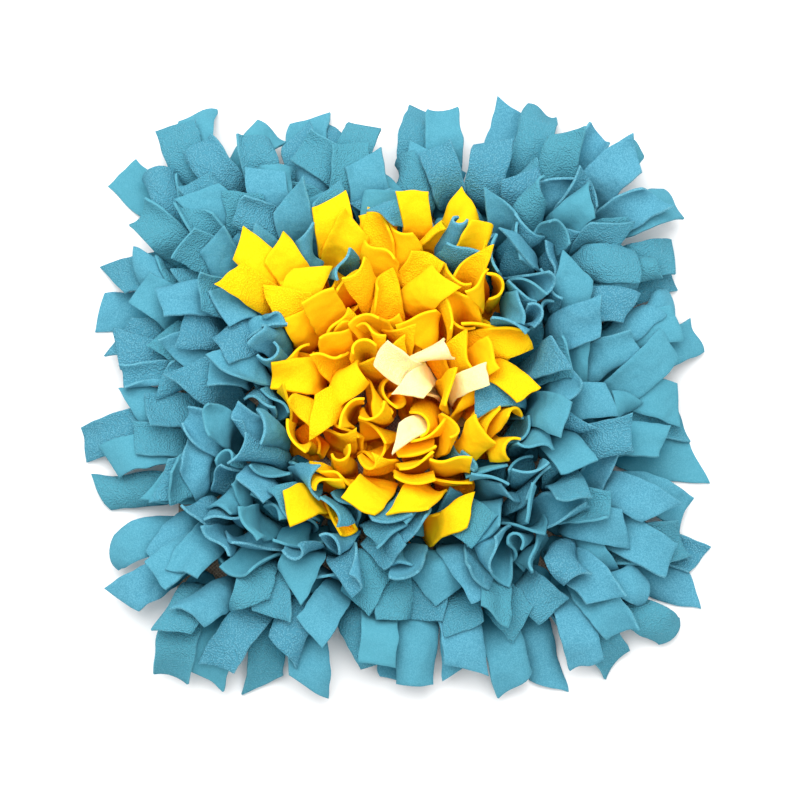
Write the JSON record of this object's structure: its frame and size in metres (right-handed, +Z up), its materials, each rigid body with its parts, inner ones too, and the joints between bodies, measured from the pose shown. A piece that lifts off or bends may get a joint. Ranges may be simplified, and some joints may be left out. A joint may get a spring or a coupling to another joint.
{
  "type": "snuffle mat",
  "caption": "Square pet foraging mat of fleece strips tied through a thin base, with a teal shag border, a yellow middle and a few cream strips.",
  "frame": {"origin": "centre of the base mat's underside, on the floor", "axes": "+Z up through the pile, +Y towards the back edge, +X to the right; the base mat's sides run along X and Y"},
  "size_m": [0.3944, 0.3921, 0.0863],
  "materials": {
    "base": "unbleached woven canvas",
    "teal_fleece": "napped fleece",
    "yellow_fleece": "napped fleece",
    "cream_fleece": "napped fleece"
  },
  "bodies": {
    "root": {"base_mat": "base", "teal_back": "teal_fleece", "teal_front": "teal_fleece", "teal_left": "teal_fleece", "teal_right": "teal_fleece", "yellow_centre": "yellow_fleece", "cream_centre": "cream_fleece"}
  },
  "joints": []
}
